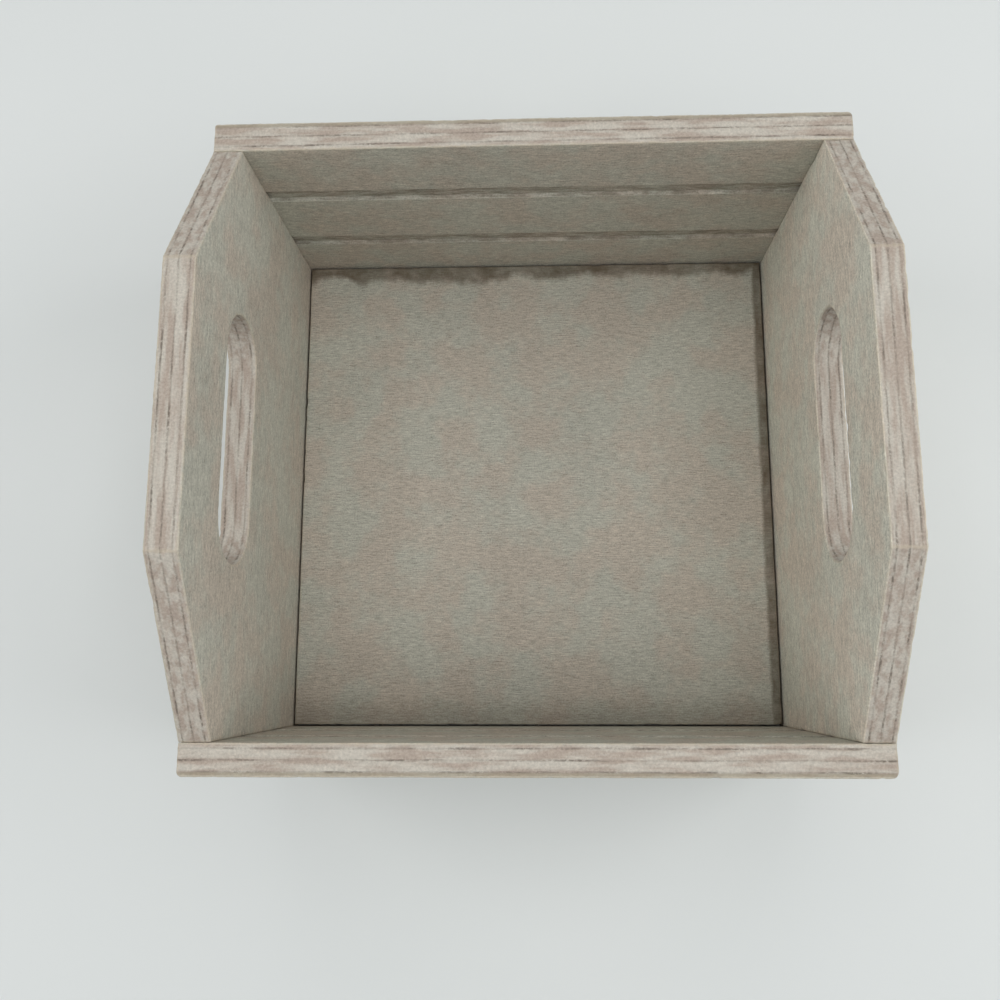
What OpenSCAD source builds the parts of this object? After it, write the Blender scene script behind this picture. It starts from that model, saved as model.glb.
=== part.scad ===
/* [Crate] */
// Overall width, along the front and back boards
crate_w = 200; // [150:1:300]
// Overall depth, from the front board's face to the back board's
crate_d = 200; // [150:1:300]
// Height of the front and back boards
wall_h = 97.5; // [90:0.5:140]
// Height of the end panels at their flat tops
end_h = 130; // [120:0.5:180]

/* [Boards] */
// Thickness of the plywood in the front and back boards
wall_t = 9.5; // [9:0.5:13]
// Thickness of the plywood in the end panels
end_t = 9.5; // [9:0.5:13]
// Thickness of the plywood floor
floor_t = 9.5; // [8:0.5:13]
// Gap between the floor and the walls round it
floor_gap = 0.6; // [0.3:0.1:0.9]

/* [End panels] */
// Length of the flat top between the two slopes
flat_top_l = 81; // [60:1:110]
// Length of the hand slot, over its round ends
slot_l = 78; // [60:1:100]
// Height of the hand slot
slot_h = 29; // [22:1:34]
// Height of the slot's centre line above the base
slot_z = 87; // [70:0.5:95]

/* [Plank grooves] */
// Height of each of the two lower planks that the grooves mark out
plank_h = 34; // [28:0.5:40]
// Width of a groove at the board's face
groove_w = 7; // [4:0.5:9]
// Depth of a groove
groove_d = 1.2; // [0.6:0.1:2]
// How far each side of a groove slopes in from its mouth to its bottom
groove_slope = 0.6; // [0:0.1:1.2]
// How many grooves each face has
groove_count = 2; // [1:1:2]

/* [Brads] */
// Length of a brad, head and point included
brad_l = 25; // [20:1:32]
// Width of the wire across the head's long side
brad_w = 1.2; // [0.9:0.1:1.6]
// Thickness of the wire the other way
brad_t = 1; // [0.8:0.1:1.4]
// Length of the head's long side
brad_head_l = 2; // [1.8:0.1:3]
// Thickness of the head
brad_head_t = 0.8; // [0.5:0.1:1.2]
// Length of the chisel point
brad_point_l = 2.4; // [1:0.1:4]
// How far each head is set below the board's face
brad_set = 0.7; // [0.3:0.1:1.5]
// Brads in each edge of the floor
floor_brads = 3; // [2:1:4]
// Distance from the floor's corner to the first brad in its edge
floor_brad_inset = 32; // [30:1:40]

/* [Hidden] */
$fn = 64;
// Tools reach this far past a face that they cut through
over = 1;

// Half of the width and depth inside the four walls
inner_x = crate_w / 2 - end_t;
inner_y = crate_d / 2 - wall_t;

// The brads of a corner joint stand in the middle of each plank
groove_heights = [for (i = [1 : groove_count]) i * plank_h];
plank_edges = concat([0], groove_heights, [wall_h]);
corner_brad_heights = [for (i = [0 : groove_count]) (plank_edges[i] + plank_edges[i + 1]) / 2];

// The brads along a floor edge are spread evenly between the first and the last
function floor_brad_places(half_l) = [
    for (i = [0 : floor_brads - 1])
        (half_l - floor_brad_inset) * (2 * i / (floor_brads - 1) - 1)
];

// A brad that lies along +Y, with its head's outer face on the origin
module brad() {
    shank_l = brad_l - brad_point_l;
    translate([-brad_head_l / 2, 0, -brad_w / 2])
        cube([brad_head_l, brad_head_t, brad_w]);
    translate([0, 0, -brad_w / 2])
        linear_extrude(brad_w)
            polygon([
                [-brad_t / 2, brad_head_t], [brad_t / 2, brad_head_t],
                [brad_t / 2, shank_l], [0, brad_l], [-brad_t / 2, shank_l]
            ]);
}

// The hole that a driven brad leaves: its own shape, and the pocket over its head
module brad_hole() {
    brad();
    translate([-brad_head_l / 2, -brad_set - over, -brad_w / 2])
        cube([brad_head_l, brad_set + over, brad_w]);
}

// Sets each child in the front left corner joint, at every brad's place
module at_corner_brads() {
    for (z = corner_brad_heights)
        translate([-crate_w / 2 + end_t / 2, -crate_d / 2 + brad_set, z])
            rotate([0, 90, 0])
                children();
}

// Sets each child in the front wall, along the floor's front edge
module at_floor_front_brads() {
    for (x = floor_brad_places(inner_x))
        translate([x, -crate_d / 2 + brad_set, floor_t / 2])
            children();
}

// Sets each child in the left wall, along the floor's left edge
module at_floor_left_brads() {
    for (y = floor_brad_places(inner_y))
        translate([-crate_w / 2 + brad_set, y, floor_t / 2])
            rotate([0, 0, -90])
                children();
}

// Mirrors its children from the left side to the right one
module to_right() {
    mirror([1, 0, 0])
        children();
}

// Mirrors its children from the front to the back
module to_back() {
    mirror([0, 1, 0])
        children();
}

// One groove along a face that looks along +Y, centred on the origin
module groove() {
    bottom_w = groove_w - 2 * groove_slope;
    translate([-crate_w / 2 - over, 0, 0])
        rotate([90, 0, 90])
            linear_extrude(crate_w + 2 * over)
                polygon([
                    [-groove_d, -bottom_w / 2], [0, -groove_w / 2], [over, -groove_w / 2],
                    [over, groove_w / 2], [0, groove_w / 2], [-groove_d, bottom_w / 2]
                ]);
}

// The front board, which laps the ends of both end panels
module front_board_shape() {
    difference() {
        translate([-crate_w / 2, -crate_d / 2, 0])
            cube([crate_w, wall_t, wall_h]);
        for (z = groove_heights) {
            translate([0, -inner_y, z])
                groove();
            translate([0, -crate_d / 2, z])
                to_back()
                    groove();
        }
        at_corner_brads()
            brad_hole();
        to_right()
            at_corner_brads()
                brad_hole();
        at_floor_front_brads()
            brad_hole();
    }
}

// Outline of an end panel seen from its side, with its hand slot
module end_panel_outline() {
    round_end_y = slot_l / 2 - slot_h / 2;
    difference() {
        polygon([
            [-inner_y, 0], [inner_y, 0], [inner_y, wall_h],
            [flat_top_l / 2, end_h], [-flat_top_l / 2, end_h], [-inner_y, wall_h]
        ]);
        translate([-round_end_y, slot_z - slot_h / 2])
            square([2 * round_end_y, slot_h]);
        for (y = [-round_end_y, round_end_y])
            translate([y, slot_z])
                circle(d = slot_h);
    }
}

// The left end panel, which stands between the front and back boards
module left_end_panel_shape() {
    difference() {
        translate([-crate_w / 2, 0, 0])
            rotate([90, 0, 90])
                linear_extrude(end_t)
                    end_panel_outline();
        at_corner_brads()
            brad_hole();
        to_back()
            at_corner_brads()
                brad_hole();
        at_floor_left_brads()
            brad_hole();
    }
}

module front_board() {
    color([0.70, 0.67, 0.63])
        front_board_shape();
}

module back_board() {
    color([0.70, 0.67, 0.63])
        to_back()
            front_board_shape();
}

module left_end_panel() {
    color([0.73, 0.71, 0.67])
        left_end_panel_shape();
}

module right_end_panel() {
    color([0.73, 0.71, 0.67])
        to_right()
            left_end_panel_shape();
}

// The floor, which sits inside the four walls, level with their lower edges
module floor_panel() {
    floor_w = 2 * (inner_x - floor_gap);
    floor_d = 2 * (inner_y - floor_gap);
    color([0.66, 0.63, 0.58])
        difference() {
            translate([-floor_w / 2, -floor_d / 2, 0])
                cube([floor_w, floor_d, floor_t]);
            at_floor_front_brads()
                brad();
            to_back()
                at_floor_front_brads()
                    brad();
            at_floor_left_brads()
                brad();
            to_right()
                at_floor_left_brads()
                    brad();
        }
}

module front_left_brads() {
    color([0.62, 0.62, 0.60])
        at_corner_brads()
            brad();
}

module front_right_brads() {
    color([0.62, 0.62, 0.60])
        to_right()
            at_corner_brads()
                brad();
}

module back_left_brads() {
    color([0.62, 0.62, 0.60])
        to_back()
            at_corner_brads()
                brad();
}

module back_right_brads() {
    color([0.62, 0.62, 0.60])
        to_right()
            to_back()
                at_corner_brads()
                    brad();
}

module floor_front_brads() {
    color([0.62, 0.62, 0.60])
        at_floor_front_brads()
            brad();
}

module floor_back_brads() {
    color([0.62, 0.62, 0.60])
        to_back()
            at_floor_front_brads()
                brad();
}

module floor_left_brads() {
    color([0.62, 0.62, 0.60])
        at_floor_left_brads()
            brad();
}

module floor_right_brads() {
    color([0.62, 0.62, 0.60])
        to_right()
            at_floor_left_brads()
                brad();
}

front_board();
back_board();
left_end_panel();
right_end_panel();
floor_panel();
front_left_brads();
front_right_brads();
back_left_brads();
back_right_brads();
floor_front_brads();
floor_back_brads();
floor_left_brads();
floor_right_brads();
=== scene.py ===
# %% [markdown]
# # A small limewashed plywood crate
#
# The real crate is four plywood boards nailed round a plywood floor. Grooves along the front and
# back boards make each look like three planks, and a long slot through each end panel is the
# handle. Thin grey limewash covers it, and years of use have worn its edges and stained its floor.
#
# The CAD model has every board at its true size, so it is loaded first and stays as a fixed frame.
# The boards are then built again inside that frame with worn edges, nail holes and a painted
# surface, because wear and wash are what make the crate look used. The nails need no new shape,
# so the CAD nails stay and only get a finish.

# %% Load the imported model
import math
import bmesh
import bpy
import numpy as np
from mathutils import Matrix, Vector, noise


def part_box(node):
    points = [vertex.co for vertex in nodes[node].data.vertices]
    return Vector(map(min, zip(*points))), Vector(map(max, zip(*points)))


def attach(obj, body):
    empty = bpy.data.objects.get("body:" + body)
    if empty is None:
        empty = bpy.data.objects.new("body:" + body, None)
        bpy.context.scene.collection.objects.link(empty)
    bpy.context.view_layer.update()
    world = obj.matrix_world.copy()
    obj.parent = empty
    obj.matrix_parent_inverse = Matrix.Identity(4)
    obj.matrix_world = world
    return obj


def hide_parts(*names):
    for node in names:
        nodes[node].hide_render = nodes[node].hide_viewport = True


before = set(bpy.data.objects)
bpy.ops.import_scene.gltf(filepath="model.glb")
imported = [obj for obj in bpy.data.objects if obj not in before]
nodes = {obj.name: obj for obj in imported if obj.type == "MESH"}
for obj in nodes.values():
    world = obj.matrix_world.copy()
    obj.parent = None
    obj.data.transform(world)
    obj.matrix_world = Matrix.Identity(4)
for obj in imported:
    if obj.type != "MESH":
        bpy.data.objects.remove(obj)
scene = bpy.context.scene
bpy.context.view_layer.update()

# %% [markdown]
# ## The camera
#
# The photograph looks down into the crate from just behind its front board. Its place, tilt and
# lens come from fitting the crate's corners and edges, so the camera gets those fitted numbers.
# The small sideways shift is the crop of the photograph.

# %% Place the camera
camera = bpy.data.objects.new("camera", bpy.data.cameras.new("camera"))
scene.collection.objects.link(camera)
camera.location = (0.00406, -0.07211, 0.37188)
camera.rotation_euler = (math.radians(10.370), math.radians(1.984), math.radians(-0.056))
camera.data.sensor_width = 36.0
camera.data.lens = 34.54
camera.data.shift_x = -0.01329
camera.data.clip_start = 0.01
scene.camera = camera
print("camera height in mm:", round(1000 * camera.location.z))

# %% [markdown]
# ## Light and floor
#
# The crate stands on a pale surface under soft light. The photographer leaned over the front, so
# most light came in low from the left and right. Wide lamps on a dome copy that: the shares of
# their power were fitted to how bright each face is. A plain pale world fills in the rest. The
# view transform is Standard, so a colour renders about as it is written.

# %% Set the view and the world
scene.view_settings.view_transform = "Standard"


def shade(red, green, blue):
    """A colour from its 0 to 255 screen values, as the linear numbers that shaders use."""
    parts = [v / 255 for v in (red, green, blue)]
    linear = [p / 12.92 if p <= 0.04045 else ((p + 0.055) / 1.055) ** 2.4 for p in parts]
    return (*linear, 1.0)


SKY_STRENGTH = 0.2
PALE_ROOM = shade(219, 223, 222)
world = bpy.data.worlds.new("pale_room")
scene.world = world
world.use_nodes = True
sky = world.node_tree
sky.nodes.clear()
sky_light = sky.nodes.new("ShaderNodeBackground")
sky_light.inputs["Color"].default_value = shade(251, 254, 255)
sky_light.inputs["Strength"].default_value = SKY_STRENGTH
sky_seen = sky.nodes.new("ShaderNodeBackground")
sky_seen.inputs["Color"].default_value = PALE_ROOM
sky_seen.inputs["Strength"].default_value = 1.0
ray = sky.nodes.new("ShaderNodeLightPath")
sky_mix = sky.nodes.new("ShaderNodeMixShader")
sky_out = sky.nodes.new("ShaderNodeOutputWorld")
sky.links.new(ray.outputs["Is Camera Ray"], sky_mix.inputs["Fac"])
sky.links.new(sky_light.outputs["Background"], sky_mix.inputs[1])
sky.links.new(sky_seen.outputs["Background"], sky_mix.inputs[2])
sky.links.new(sky_mix.outputs["Shader"], sky_out.inputs["Surface"])

# %% Hang the lamps
LAMP_REACH = 0.9
LAMP_SIZE = 0.7
FULL_POWER = 5.0
CRATE_MIDDLE = Vector((0.0, 0.0, 0.05))
# Each lamp's name, its direction and height in degrees, and its share of full power
LAMPS = (
    ("overhead_lamp", 0, 90, 0.10),
    ("back_lamp", 90, 62, 0.15),
    ("front_left_lamp", 225, 62, 0.24),
    ("front_right_lamp", 315, 62, 0.32),
    ("right_lamp", 0, 33, 0.76),
    ("left_lamp", 180, 33, 0.62),
    ("low_back_lamp", 90, 33, 0.17),
)


def hang_lamp(name, around, up, share):
    """A wide square lamp that looks at the crate, and that the camera doesn't see."""
    lamp = bpy.data.lights.new(name, "AREA")
    lamp.shape = "SQUARE"
    lamp.size = LAMP_SIZE
    lamp.energy = FULL_POWER * share
    hung = bpy.data.objects.new(name, lamp)
    scene.collection.objects.link(hung)
    flat = math.cos(math.radians(up))
    way = Vector((flat * math.cos(math.radians(around)), flat * math.sin(math.radians(around)),
                  math.sin(math.radians(up))))
    hung.location = CRATE_MIDDLE + way * LAMP_REACH
    hung.rotation_euler = way.to_track_quat("Z", "Y").to_euler()
    hung.visible_camera = False


for lamp_row in LAMPS:
    hang_lamp(*lamp_row)

# %% [markdown]
# ## Writing a finish
#
# Every finish here is a set of shader nodes. A wash over plywood needs many small sums, such as
# how far a point is from a glue line, so two small classes let those sums be written as plain
# arithmetic. A Wire is one value in the material, and a Finish holds the material that it is in.

# %% Shader sums as plain arithmetic


class Wire:
    """One value in a material."""

    def __init__(self, finish, socket):
        self.finish = finish
        self.socket = socket

    def __add__(self, other):
        return self.finish.sum("ADD", self, other)

    def __radd__(self, other):
        return self.finish.sum("ADD", other, self)

    def __sub__(self, other):
        return self.finish.sum("SUBTRACT", self, other)

    def __rsub__(self, other):
        return self.finish.sum("SUBTRACT", other, self)

    def __mul__(self, other):
        return self.finish.sum("MULTIPLY", self, other)

    def __rmul__(self, other):
        return self.finish.sum("MULTIPLY", other, self)


class Finish:
    """A material, and the nodes that its patterns are made of. Lengths in it are millimetres."""

    def __init__(self, name):
        self.material = bpy.data.materials.new(name)
        self.material.use_nodes = True
        self.tree = self.material.node_tree
        self.tree.nodes.clear()
        coordinates = self.new("ShaderNodeTexCoord")
        metres = Wire(self, coordinates.outputs["Object"])
        self.place = self.shaded(metres, 1000.0)
        parts = self.new("ShaderNodeSeparateXYZ", Vector=self.place)
        self.x, self.y, self.z = [Wire(self, s) for s in parts.outputs]

    def new(self, kind, **sockets):
        node = self.tree.nodes.new(kind)
        for name, value in sockets.items():
            self.feed(node.inputs[name.replace("_", " ")], value)
        return node

    def feed(self, socket, value):
        if isinstance(value, Wire):
            self.tree.links.new(value.socket, socket)
        else:
            socket.default_value = value

    def sum(self, operation, *values):
        node = self.new("ShaderNodeMath")
        node.operation = operation
        for socket, value in zip(node.inputs, values):
            self.feed(socket, value)
        return Wire(self, node.outputs[0])

    def shaded(self, colour, factor):
        """A colour or a place, with each of its three numbers times factor."""
        node = self.new("ShaderNodeVectorMath")
        node.operation = "SCALE"
        self.feed(node.inputs[0], colour)
        self.feed(node.inputs["Scale"], factor)
        return Wire(self, node.outputs["Vector"])

    def ramp(self, value, start, end):
        """0 up to start, 1 from end on, and a soft rise between."""
        node = self.new("ShaderNodeMapRange", Value=value)
        node.interpolation_type = "SMOOTHSTEP"
        self.feed(node.inputs["From Min"], start)
        self.feed(node.inputs["From Max"], end)
        return Wire(self, node.outputs["Result"])

    def fade(self, value, start, end):
        """1 up to start, 0 from end on."""
        node = self.new("ShaderNodeMapRange", Value=value)
        node.interpolation_type = "SMOOTHSTEP"
        self.feed(node.inputs["From Min"], start)
        self.feed(node.inputs["From Max"], end)
        self.feed(node.inputs["To Min"], 1.0)
        self.feed(node.inputs["To Max"], 0.0)
        return Wire(self, node.outputs["Result"])

    def most(self, first, second):
        return self.sum("MAXIMUM", first, second)

    def least(self, first, second):
        return self.sum("MINIMUM", first, second)

    def size(self, value):
        return self.sum("ABSOLUTE", value)

    def noise(self, lengths, detail=2.0, rough=0.5, start=0.0):
        """Noise about 0, whose blotches are as long in X, Y and Z as lengths says."""
        mapping = self.new("ShaderNodeMapping", Vector=self.place)
        mapping.inputs["Scale"].default_value = [1 / v for v in lengths]
        mapping.inputs["Location"].default_value = (start, start * 0.7, start * 1.3)
        node = self.new("ShaderNodeTexNoise", Vector=Wire(self, mapping.outputs["Vector"]))
        node.inputs["Scale"].default_value = 1.0
        node.inputs["Detail"].default_value = detail
        node.inputs["Roughness"].default_value = rough
        return Wire(self, node.outputs[0]) - 0.5

    def mix(self, share, under, over):
        """The colour over laid on the colour under by that share."""
        node = self.new("ShaderNodeMix")
        node.data_type = "RGBA"
        self.feed(node.inputs[0], share)
        self.feed(node.inputs[6], under)
        self.feed(node.inputs[7], over)
        return Wire(self, node.outputs[2])

    def attribute(self, name):
        node = self.new("ShaderNodeAttribute")
        node.attribute_name = name
        return Wire(self, node.outputs["Fac"])

    def end(self, colour, roughness, height, relief, gloss=0.3):
        """Joins colour, roughness and relief to the shader. relief is its depth in millimetres."""
        bump = self.new("ShaderNodeBump", Height=height)
        bump.inputs["Strength"].default_value = 1.0
        bump.inputs["Distance"].default_value = relief / 1000
        shader = self.new("ShaderNodeBsdfPrincipled")
        self.feed(shader.inputs["Base Color"], colour)
        self.feed(shader.inputs["Roughness"], roughness)
        self.feed(shader.inputs["Normal"], Wire(self, bump.outputs["Normal"]))
        shader.inputs["Specular IOR Level"].default_value = gloss
        out = self.new("ShaderNodeOutputMaterial")
        self.tree.links.new(shader.outputs["BSDF"], out.inputs["Surface"])
        return self.material


# %% Lay the pale surface that the crate stands on
bm = bmesh.new()
bmesh.ops.create_grid(bm, x_segments=8, y_segments=8, size=3.0)
ground_mesh = bpy.data.meshes.new("ground")
bm.to_mesh(ground_mesh)
bm.free()
ground = bpy.data.objects.new("ground", ground_mesh)
scene.collection.objects.link(ground)

paper = Finish("pale_table")
mottle = paper.noise((90, 90, 90), detail=3.0)
tone = paper.mix(mottle + 0.5, shade(220, 224, 223), shade(223, 226, 225))
ground_mesh.materials.append(paper.end(tone, 0.9, paper.noise((2, 2, 2)), 0.02, gloss=0.1))
print("ground:", len(ground_mesh.polygons), "faces")

# %% [markdown]
# The lamps stand close to the crate, so the far floor would go dark in a low view from the side.
# There the camera sees the room's plain pale colour instead. That colour gives the crate no
# light, and the floor near the crate keeps its shadow.

# %% Fade the far floor into the room
FADE_START = 450.0
FADE_END = 1300.0
from_middle = paper.sum("SQRT", paper.x * paper.x + paper.y * paper.y)
way_of_looking = paper.new("ShaderNodeLightPath")
seen = Wire(paper, way_of_looking.outputs["Is Camera Ray"])
mirrored = Wire(paper, way_of_looking.outputs["Is Glossy Ray"])
far = paper.ramp(from_middle, FADE_START, FADE_END) * paper.most(seen, mirrored)
room = paper.new("ShaderNodeEmission", Color=PALE_ROOM, Strength=1.0)
table_end = paper.tree.nodes["Material Output"]
lit_surface = table_end.inputs["Surface"].links[0].from_socket
joined = paper.new("ShaderNodeMixShader", Fac=far)
paper.tree.links.new(lit_surface, joined.inputs[1])
paper.tree.links.new(room.outputs["Emission"], joined.inputs[2])
paper.tree.links.new(joined.outputs["Shader"], table_end.inputs["Surface"])
print("floor fades from", FADE_START, "to", FADE_END, "mm")

# %% [markdown]
# ## Cutting a board
#
# Each board starts as a plain block or an outline, as a real one does. Its corners are rounded
# with a bevel, and its grooves and nail holes are cut. Then many straight cuts divide it into a
# fine net, closer along the edges. That net is what the wear can move later: a chip or a rounded
# edge needs points to sit on.

# %% Helpers that cut boards
MM = 0.001
X, Y, Z = 0, 1, 2
SHARP = 0.35


def block(low, high):
    """A closed box between two corners, in metres."""
    bm = bmesh.new()
    bmesh.ops.create_cube(bm, size=1.0)
    bmesh.ops.scale(bm, vec=high - low, verts=bm.verts)
    bmesh.ops.translate(bm, vec=(low + high) / 2, verts=bm.verts)
    return bm


def cut_at(bm, axis, places):
    """Cuts the whole mesh across an axis, at each place in millimetres."""
    normal = Vector((0.0, 0.0, 0.0))
    normal[axis] = 1.0
    for place in places:
        geom = bm.verts[:] + bm.edges[:] + bm.faces[:]
        bmesh.ops.bisect_plane(
            bm, geom=geom, dist=1e-7, plane_co=normal * place * MM, plane_no=normal
        )


def cut_places(low, high, step, fine=(), fine_step=0.4, reach=2.0):
    """Places from low to high, closer together beside each place in fine."""
    places = list(np.arange(low + step, high - step / 2, step))
    for centre in fine:
        places += list(np.arange(centre - reach, centre + reach + fine_step / 2, fine_step))
    kept = []
    for place in sorted(places):
        clear = not kept or place - kept[-1] > fine_step * 0.55
        if low + 0.05 < place < high - 0.05 and clear:
            kept.append(float(place))
    return kept


def edges_on(bm, *tests):
    """The edges whose two ends both lie on every given plane: (axis, place in millimetres)."""
    found = []
    for edge in bm.edges:
        ends = [v.co for v in edge.verts]
        if all(abs(end[axis] - place * MM) < 1e-6 for axis, place in tests for end in ends):
            found.append(edge)
    return found


def round_off(bm, edges, width, steps=3):
    """Rounds edges with a bevel of that width in millimetres."""
    bmesh.ops.bevel(
        bm, geom=edges, offset=width * MM, offset_type="OFFSET", segments=steps,
        profile=0.5, affect="EDGES", material=-1,
    )


def sink(bm, low, high, move):
    """Sinks the faces whose middles lie between two corners, in millimetres, along move."""
    faces = [
        f for f in bm.faces
        if all(low[i] * MM < f.calc_center_median()[i] < high[i] * MM for i in range(3))
    ]
    made = bmesh.ops.extrude_face_region(bm, geom=faces)["geom"]
    moved = [g for g in made if isinstance(g, bmesh.types.BMVert)]
    bmesh.ops.translate(bm, vec=Vector(move) * MM, verts=moved)
    return len(faces)


def sharp_lines(bm):
    """The two ends of every sharp edge, which later tell how far a point is from an edge."""
    bm.normal_update()
    return [
        (np.array(e.verts[0].co), np.array(e.verts[1].co))
        for e in bm.edges
        if e.is_manifold and e.calc_face_angle() > SHARP
    ]


# %% [markdown]
# ## Front and back boards
#
# Both boards are the same: 200 mm long, four plies thick, with two shallow grooves along each
# face. The outer corners are knocked round, most at the front. A groove is made by cutting the
# board at its four lines and pushing the two middle lines inward, so it needs no new faces.

# %% Sizes of the boards, in millimetres
GROOVE_HEIGHTS = (34.0, 68.0)
GROOVE_WIDTH = 7.0
GROOVE_SLOPE = 0.6
GROOVE_DEPTH = 1.2
HALF = 100.0
INSIDE = 90.5
THICK = 9.5
WALL_TOP = 97.5
CORNER_NAIL_HEIGHTS = (17.0, 51.0, 82.75)
CORNER_NAIL_X = 95.25
FLOOR_NAILS = (-58.5, 0.0, 58.5)
FLOOR_NAIL_HEIGHT = 4.75
HOLE_LONG = 1.15
HOLE_SHORT = 0.75
HOLE_DEPTH = 1.45
BOARD_ROUND = 0.35
SKIN = 0.1


def groove_lines():
    """Heights of each groove's mouth and bottom lines."""
    lines = []
    for height in GROOVE_HEIGHTS:
        mouth = GROOVE_WIDTH / 2
        bottom = mouth - GROOVE_SLOPE
        lines += [height - mouth, height - bottom, height + bottom, height + mouth]
    return lines


def long_board(side, corner_radii, voids):
    """The front board (side -1) or the back one (side 1), with a fine net of faces."""
    node = "front_board" if side < 0 else "back_board"
    low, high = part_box(node)
    bm = block(low, high)
    rims = sharp_lines(bm)
    for x, radius in corner_radii:
        round_off(bm, edges_on(bm, (X, x), (Y, side * HALF)), radius, steps=5)
    lines = groove_lines()
    cut_at(bm, Z, lines)
    bottoms = [z for i, z in enumerate(lines) if i % 4 in (1, 2)]
    near = HALF - THICK + GROOVE_DEPTH
    far = HALF - GROOVE_DEPTH
    for vert in bm.verts:
        if any(abs(vert.co.z - z * MM) < 1e-6 for z in bottoms):
            depth = min(max(side * vert.co.y, near * MM), far * MM)
            vert.co.y = side * depth
    for z in (0.0, WALL_TOP):
        round_off(bm, edges_on(bm, (Z, z)), BOARD_ROUND)
    cut_at(bm, X, [s * CORNER_NAIL_X + d for s in (-1, 1) for d in (-HOLE_SHORT, HOLE_SHORT)])
    cut_at(bm, X, [x + d for x in FLOOR_NAILS for d in (-HOLE_LONG, HOLE_LONG)])
    cut_at(bm, Z, [z + d for z in CORNER_NAIL_HEIGHTS for d in (-HOLE_LONG, HOLE_LONG)])
    cut_at(bm, Z, [FLOOR_NAIL_HEIGHT + d for d in (-HOLE_SHORT, HOLE_SHORT)])
    outer = sorted((side * (HALF - SKIN), side * (HALF + SKIN)))
    inward = (0.0, -side * HOLE_DEPTH, 0.0)
    for x in (-CORNER_NAIL_X, CORNER_NAIL_X):
        for z in CORNER_NAIL_HEIGHTS:
            sink(
                bm, (x - HOLE_SHORT, outer[0], z - HOLE_LONG),
                (x + HOLE_SHORT, outer[1], z + HOLE_LONG), inward,
            )
    for x in FLOOR_NAILS:
        z = FLOOR_NAIL_HEIGHT
        sink(
            bm, (x - HOLE_LONG, outer[0], z - HOLE_SHORT),
            (x + HOLE_LONG, outer[1], z + HOLE_SHORT), inward,
        )
    for x, y, length, width, depth in voids:
        cut_at(bm, X, [x - length / 2, x + length / 2])
        cut_at(bm, Y, [y - width / 2, y + width / 2])
        sink(
            bm, (x - length / 2, y - width / 2, WALL_TOP - SKIN),
            (x + length / 2, y + width / 2, WALL_TOP + SKIN), (0.0, 0.0, -depth),
        )
    across = cut_places(0.0, THICK, 0.6)
    cut_at(bm, Y, [side * (HALF - w) for w in across])
    cut_at(bm, Z, cut_places(0.0, WALL_TOP, 2.6, (WALL_TOP, 0.0, *lines), 0.45, 1.4))
    cut_at(bm, X, cut_places(-HALF, HALF, 0.85, (-HALF, HALF), 0.4, 2.0))
    return bm, rims


front_voids = ((2.2, -92.5, 3.2, 1.1, 1.6), (32.1, -92.6, 2.2, 0.9, 1.4))
back_voids = ((-66.3, 92.3, 1.0, 0.8, 1.0), (-8.7, 91.6, 1.8, 0.7, 1.0))
front_bm, front_rims = long_board(-1, ((-HALF, 1.6), (HALF, 2.0)), front_voids)
back_bm, back_rims = long_board(1, ((-HALF, 0.9), (HALF, 1.6)), back_voids)
print("front board:", len(front_bm.faces), "faces; back board:", len(back_bm.faces), "faces")

# %% [markdown]
# ## End panels
#
# An end panel is a six-sided outline with a round-ended slot through it. Its outline and the
# slot's outline are drawn as two loops, filled between, and pushed out to the board's thickness.
# The right panel is built the same way on its own side.

# %% Draw, fill and thicken an end panel
PANEL_TOP = 130.0
HALF_FLAT = 40.5
SLOT_HALF = 39.0
SLOT_RADIUS = 14.5
SLOT_HEIGHT = 87.0


def slot_loop(bm, x):
    """The slot's outline: a circle whose two halves are moved apart."""
    made = bmesh.ops.create_circle(bm, segments=64, radius=SLOT_RADIUS * MM)["verts"]
    turn = Matrix.Rotation(math.radians(90), 3, "Y")
    bmesh.ops.rotate(bm, cent=(0, 0, 0), matrix=turn, verts=made)
    spare = SLOT_HALF - SLOT_RADIUS
    middle = [v for v in made if abs(v.co.y) < 1e-7]
    for vert in middle:
        bmesh.ops.translate(bm, vec=(0, -1e-5, 0), verts=[vert])
    for direction in (-1, 1):
        part = [v for v in made if v.co.y * direction > 0]
        bmesh.ops.translate(bm, vec=(0, direction * spare * MM, 0), verts=part)
    bmesh.ops.translate(bm, vec=(x * MM, 0, SLOT_HEIGHT * MM), verts=made)
    return made


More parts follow.
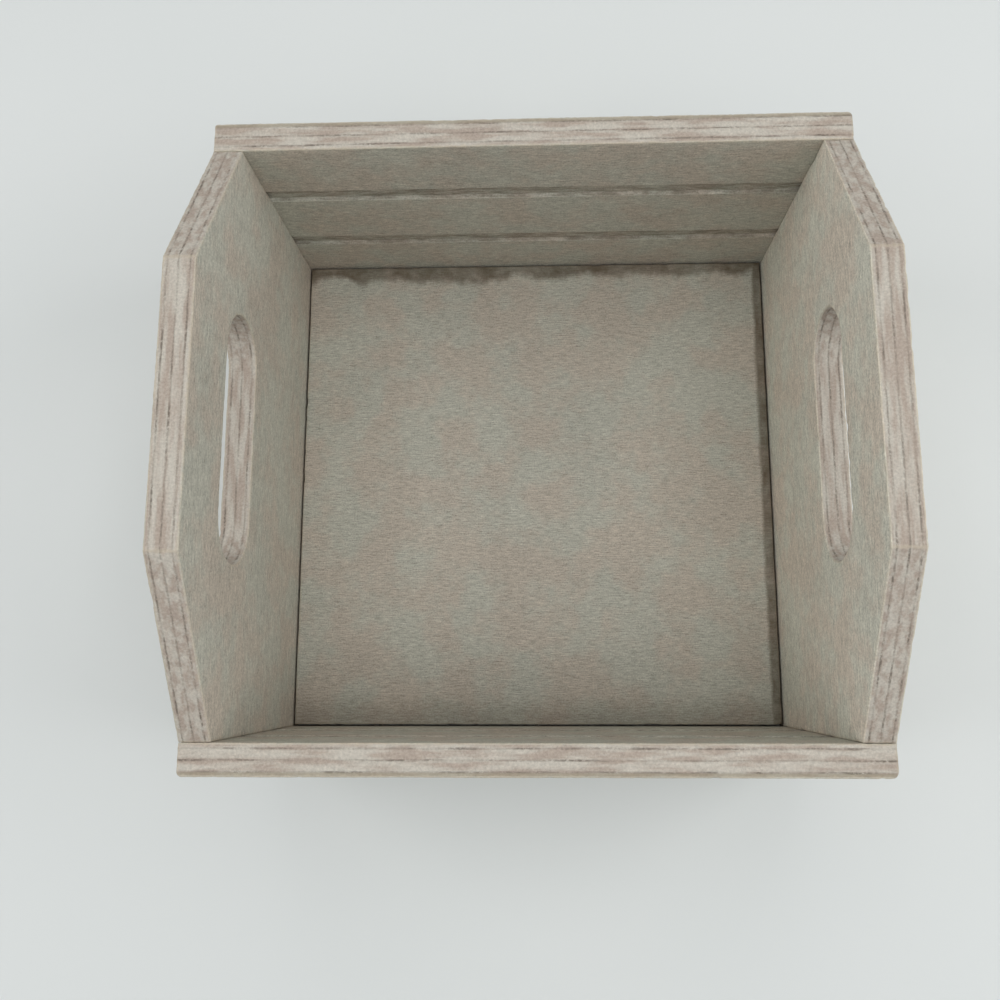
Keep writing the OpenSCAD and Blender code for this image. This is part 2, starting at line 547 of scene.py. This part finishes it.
def end_panel(side):
    """The left end panel (side -1) or the right one (side 1), with a fine net of faces."""
    bm = bmesh.new()
    slot = slot_loop(bm, side * HALF)
    slot_edges = {e for v in slot for e in v.link_edges}
    outline = (
        (-INSIDE, 0.0), (INSIDE, 0.0), (INSIDE, WALL_TOP),
        (HALF_FLAT, PANEL_TOP), (-HALF_FLAT, PANEL_TOP), (-INSIDE, WALL_TOP),
    )
    points = [bm.verts.new((side * HALF * MM, y * MM, z * MM)) for y, z in outline]
    outer_edges = [bm.edges.new((points[i - 1], points[i])) for i in range(len(points))]
    bmesh.ops.triangle_fill(bm, use_beauty=True, edges=[*outer_edges, *slot_edges])
    made = bmesh.ops.extrude_face_region(bm, geom=bm.faces[:])["geom"]
    moved = [g for g in made if isinstance(g, bmesh.types.BMVert)]
    bmesh.ops.translate(bm, vec=(-side * THICK * MM, 0, 0), verts=moved)
    bmesh.ops.recalc_face_normals(bm, faces=bm.faces[:])
    rims = sharp_lines(bm)
    sharp = [e for e in bm.edges if e.is_manifold and e.calc_face_angle() > SHARP]
    round_off(bm, sharp, BOARD_ROUND)
    cut_at(bm, Y, [y + d for y in FLOOR_NAILS for d in (-HOLE_LONG, HOLE_LONG)])
    cut_at(bm, Z, [FLOOR_NAIL_HEIGHT + d for d in (-HOLE_SHORT, HOLE_SHORT)])
    outer = sorted((side * (HALF - SKIN), side * (HALF + SKIN)))
    for y in FLOOR_NAILS:
        z = FLOOR_NAIL_HEIGHT
        sink(
            bm, (outer[0], y - HOLE_LONG, z - HOLE_SHORT),
            (outer[1], y + HOLE_LONG, z + HOLE_SHORT), (-side * HOLE_DEPTH, 0.0, 0.0),
        )
    cut_at(bm, X, [side * (HALF - w) for w in cut_places(0.0, THICK, 0.6)])
    cut_at(bm, Z, cut_places(0.0, PANEL_TOP, 1.3, (PANEL_TOP, WALL_TOP), 0.45, 1.4))
    cut_at(bm, Y, cut_places(-INSIDE, INSIDE, 1.0, (-HALF_FLAT, HALF_FLAT), 0.45, 1.4))
    return bm, rims


left_bm, left_rims = end_panel(-1)
right_bm, right_rims = end_panel(1)
print("end panels:", len(left_bm.faces), "and", len(right_bm.faces), "faces")

# %% [markdown]
# ## Floor panel
#
# The floor is a square of the same plywood. Only its upper face and a hairline of its edge show,
# so a block with rounded edges and an even net is enough.

# %% Cut the floor panel
floor_low, floor_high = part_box("floor_panel")
floor_bm = block(floor_low, floor_high)
floor_rims = sharp_lines(floor_bm)
round_off(floor_bm, floor_bm.edges[:], 0.4)
FLOOR_HALF = 1000 * floor_high.x
FLOOR_TOP = 1000 * floor_high.z
for axis in (X, Y):
    cut_at(floor_bm, axis, cut_places(-FLOOR_HALF, FLOOR_HALF, 1.6, (-FLOOR_HALF, FLOOR_HALF)))
cut_at(floor_bm, Z, (2.0, 4.5, 7.0))
print("floor:", len(floor_bm.faces), "faces")

# %% [markdown]
# ## Wear
#
# A handled crate loses its sharp edges first. Each point near an edge is pushed inward, a little
# everywhere and more where slow noise says so, which leaves uneven rounding and small chips.
# Pushing only inward keeps every board inside its CAD size. The distance to the nearest edge is
# kept on the mesh, because the finish wears thin along the same edges.

# %% Helpers that wear the boards
WEAR_REACH = 2.6
SMOOTH_ANGLE = 42


def near_lines(points, lines):
    """Distance from each point to the nearest line, in millimetres."""
    nearest = np.full(len(points), 1.0)
    for start, end in lines:
        along = end - start
        share = np.clip((points - start) @ along / (along @ along), 0.0, 1.0)
        gap = np.linalg.norm(points - start - share[:, None] * along, axis=1)
        nearest = np.minimum(nearest, gap)
    return nearest * 1000


def wear_depth(spot, rim, seed):
    """How deep the wear is at a point, in millimetres."""
    place = Vector(spot) * 1000 + Vector((seed, 2 * seed, 3 * seed))
    if rim > WEAR_REACH:
        return 0.0
    slow = noise.noise(place * 0.09)
    small = noise.noise(place * 0.8)
    chip = max(0.0, noise.noise(place * 0.33) - 0.32)
    near = (1.0 - rim / WEAR_REACH) ** 2
    depth = 0.10 + 0.10 * slow + 0.10 * small + 0.9 * chip
    return max(0.0, depth) * near


def make_piece(bm, name, node, rims, seed):
    """Turns the net into an object of the scene, worn at its edges, in the place of its node."""
    mesh = bpy.data.meshes.new(name)
    bmesh.ops.remove_doubles(bm, verts=bm.verts[:], dist=1e-6)
    bm.normal_update()
    bm.to_mesh(mesh)
    bm.free()
    count = len(mesh.vertices)
    places = np.empty(count * 3)
    mesh.vertices.foreach_get("co", places)
    places = places.reshape(-1, 3)
    normals = np.empty(count * 3)
    mesh.vertices.foreach_get("normal", normals)
    normals = normals.reshape(-1, 3)
    rim = near_lines(places, rims)
    depths = np.array([wear_depth(p, r, seed) for p, r in zip(places, rim)])
    worn = places - normals * depths[:, None] * MM
    mesh.vertices.foreach_set("co", worn.ravel())
    kept = mesh.attributes.new("rim", "FLOAT", "POINT")
    kept.data.foreach_set("value", np.minimum(rim, 20.0).astype(np.float32))
    mesh.shade_smooth()
    mesh.set_sharp_from_angle(angle=math.radians(SMOOTH_ANGLE))
    mesh.update()
    piece = bpy.data.objects.new(name, mesh)
    scene.collection.objects.link(piece)
    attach(piece, "root")
    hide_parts(node)
    print(name, len(mesh.polygons), "faces, deepest wear", round(depths.max(), 2), "mm")
    return piece


# %% Wear the five boards
front = make_piece(front_bm, "front_board_wood", "front_board", front_rims, 3)
back = make_piece(back_bm, "back_board_wood", "back_board", back_rims, 11)
left = make_piece(left_bm, "left_end_wood", "left_end_panel", left_rims, 23)
right = make_piece(right_bm, "right_end_wood", "right_end_panel", right_rims, 41)
floor = make_piece(floor_bm, "floor_wood", "floor_panel", floor_rims, 57)

# %% [markdown]
# ## Limewashed plywood
#
# Limewash is thin and uneven: the wood's short fibres show through as fine streaks along the
# grain, and the wash pools into paler and browner clouds. At a cut edge the four plies show, with
# dark, broken glue lines between them. One function paints all of that for any board, because
# only the grain's direction, the paleness and the stains differ from board to board. The right
# panel's extra paleness is partly painted light, the grooves hold grime and painted shade, and the
# floor's stains hold painted shade along its front edge.

# %% Paint the wash, the plies and the worn edges
WASH_WARM = shade(186, 177, 164)
WASH_COOL = shade(184, 183, 171)
PLY_PALE = shade(190, 184, 173)
PLY_PINK = shade(170, 157, 145)
GLUE = shade(92, 83, 72)
# A dark brown for the grime and painted shade in the grooves, and for the brown smears and painted
# shade along the floor's edges
GRIME_AND_SHADE = shade(92, 80, 62)
OUTER_PLY = shade(140, 132, 110)
WORN_WOOD = shade(190, 178, 158)
PLY = 3.2
FIRST_GLUE = 1.5


def along_grain(axes, along, across):
    """Pattern lengths in X, Y and Z: long along the grain and short across it."""
    lengths = [across, across, across]
    lengths[axes[0]] = along
    return lengths


def wash(paint, axes):
    """The colour of the washed face, and the height of its grain."""
    clouds = paint.noise((34, 34, 34), detail=4.0, rough=0.6, start=2.0)
    tints = paint.noise((16, 16, 16), detail=3.0, rough=0.6, start=9.0)
    fibres = paint.noise(along_grain(axes, 3.2, 0.42), detail=3.0, rough=0.65, start=4.0)
    grain = paint.noise((0.55, 0.55, 0.55), detail=2.0, rough=0.7, start=6.0)
    colour = paint.mix(paint.ramp(tints, -0.13, 0.13), WASH_WARM, WASH_COOL)
    light = 1.0 + clouds * 0.22 + fibres * 1.3 + grain * 1.1
    return paint.shaded(colour, light), fibres + grain * 0.5


def plies(paint, axes, depth):
    """The colour of a cut edge, whose four plies lie at different depths from the outer face."""
    wobble = paint.noise(along_grain(axes, 7.0, 2.0), detail=3.0, rough=0.6, start=12.0)
    here = depth + wobble * 0.5
    from_glue = paint.sum("PINGPONG", here - FIRST_GLUE, PLY / 2)
    broken = paint.noise(along_grain(axes, 13.0, 2.5), detail=3.0, rough=0.6, start=17.0)
    dots = paint.noise(along_grain(axes, 1.1, 0.8), detail=2.0, rough=0.7, start=19.0)
    strength = paint.ramp(broken, -0.12, 0.20) * 0.75 + 0.25
    line = paint.fade(from_glue, 0.10, 0.46) * strength * paint.ramp(dots, -0.24, 0.08)
    speckle = paint.noise((0.7, 0.7, 0.7), detail=3.0, rough=0.7, start=21.0)
    clouds = paint.noise(along_grain(axes, 14.0, 2.0), detail=3.0, start=25.0)
    colour = paint.mix(paint.ramp(clouds, -0.15, 0.15), PLY_PALE, PLY_PINK)
    colour = paint.shaded(colour, 1.0 + speckle * 0.9)
    colour = paint.mix(line * 0.8, colour, GLUE)
    return colour, speckle * 0.6 - line


def board_finish(name, axes, depth_of, paleness_and_light=1.0, marks_and_shade=None):
    """A finish for one board. depth_of gives the depth below its outer face."""
    paint = Finish(name)
    depth = depth_of(paint)
    face, face_height = wash(paint, axes)
    # On the right panel this extra paleness is partly painted light, for the brighter light that
    # falls on the crate's right side
    face = paint.shaded(face, paleness_and_light)
    edge, edge_height = plies(paint, axes, depth)
    inside = paint.least(depth, THICK - depth)
    is_edge = paint.ramp(inside, 0.3, 0.62)
    if axes == (X, Z):
        veneer = paint.fade(depth, 1.1, 1.7) * 0.55
        edge = paint.mix(veneer, edge, OUTER_PLY)
        to_groove = paint.least(*[paint.size(paint.z - height) for height in GROOVE_HEIGHTS])
        in_groove = paint.fade(to_groove, 3.3, 3.6) * paint.fade(inside, 1.25, 1.5)
        is_edge = is_edge * (1.0 - in_groove)
        # The grooves are painted darker and browner: partly grime that gathers in them, partly
        # painted shade for the shadow under each groove's upper lip
        groove_dirt_and_shade = paint.noise((9, 9, 1.6), detail=4.0, rough=0.7, start=28.0)
        face = paint.mix(in_groove * paint.ramp(groove_dirt_and_shade, -0.2, 0.2) * 0.6, face, GRIME_AND_SHADE)
    colour = paint.mix(is_edge, face, edge)
    height = face_height * (1.0 - is_edge) + edge_height * is_edge
    rim = paint.attribute("rim")
    ragged = paint.noise((1.6, 1.6, 1.6), detail=3.0, start=31.0)
    worn = paint.fade(rim + ragged * 2.0, 0.1, 0.9) * 0.5
    colour = paint.mix(worn, colour, WORN_WOOD)
    # On the floor this adds brown smears and painted shade along its front edge
    if marks_and_shade:
        colour = marks_and_shade(paint, colour)
    roughness = paint.noise((3, 3, 3), start=35.0) * 0.2 + 0.82
    return paint.end(colour, roughness, height, 0.12)


def wall_depth(paint):
    return HALF - paint.size(paint.y)


def end_depth(paint):
    return HALF - paint.size(paint.x)


def floor_depth(paint):
    return FLOOR_TOP - paint.z


def floor_edge_stains_and_shade(paint, colour):
    """Brown smears of old glue and grime along the floor's right, back and front edges; the wide
    band along the front edge is partly painted shade.
    """
    ragged = paint.noise((7, 7, 7), detail=4.0, rough=0.65, start=41.0)
    drips = paint.noise((13, 30, 30), detail=4.0, rough=0.6, start=47.0)
    right_band = paint.fade(FLOOR_HALF - paint.x + ragged * 2.5, 2.6, 4.4)
    back_band = paint.fade(FLOOR_HALF - paint.y + ragged * 5.0 + drips * 12.0, 3.0, 7.0)
    # Wide band along the front edge: partly a brown smudge, partly painted shade where the front
    # of the floor lies in shade
    front_smear_and_shade = paint.fade(FLOOR_HALF + paint.y + ragged * 14.0, 1.0, 13.0) * 0.5
    stain_and_shade = paint.most(paint.most(right_band, back_band), front_smear_and_shade)
    return paint.mix(stain_and_shade * (0.72 + ragged), colour, GRIME_AND_SHADE)


front.data.materials.append(board_finish("front_wash", (X, Z), wall_depth))
back.data.materials.append(board_finish("back_wash", (X, Z), wall_depth))
left.data.materials.append(board_finish("left_wash", (Y, Z), end_depth))
# The right panel is painted 1.3 times paler, partly as painted light for the brighter light that
# falls on the crate's right side
right.data.materials.append(board_finish("right_wash", (Y, Z), end_depth, paleness_and_light=1.3))
floor.data.materials.append(board_finish("floor_wash", (X, Y), floor_depth, marks_and_shade=floor_edge_stains_and_shade))

# %% [markdown]
# ## Nails
#
# The nails are thin brads, driven just below the surface. Only their small flat heads show at the
# bottom of the holes, zinc grey and smeared with wash, so the CAD nails stay and get this finish.

# %% Finish the nails
zinc = Finish("dull_zinc")
crystals = zinc.noise((0.5, 0.5, 0.5), detail=3.0)
smear = zinc.ramp(zinc.noise((1.1, 1.1, 1.1), detail=2.0, start=5.0), 0.0, 0.15)
metal_tone = zinc.mix(smear, shade(142, 142, 138), shade(176, 170, 158))
metal_tone = zinc.shaded(metal_tone, 1.0 + crystals * 0.4)
brad_finish = zinc.end(metal_tone, 0.5 + smear * 0.3, crystals, 0.03, gloss=0.5)
brad_nodes = [n for name, n in nodes.items() if name.endswith("_brads")]
for node in brad_nodes:
    for place in node.material_slots:
        place.material = brad_finish
    if not node.material_slots:
        node.data.materials.append(brad_finish)
print("nails:", len(brad_nodes), "groups")
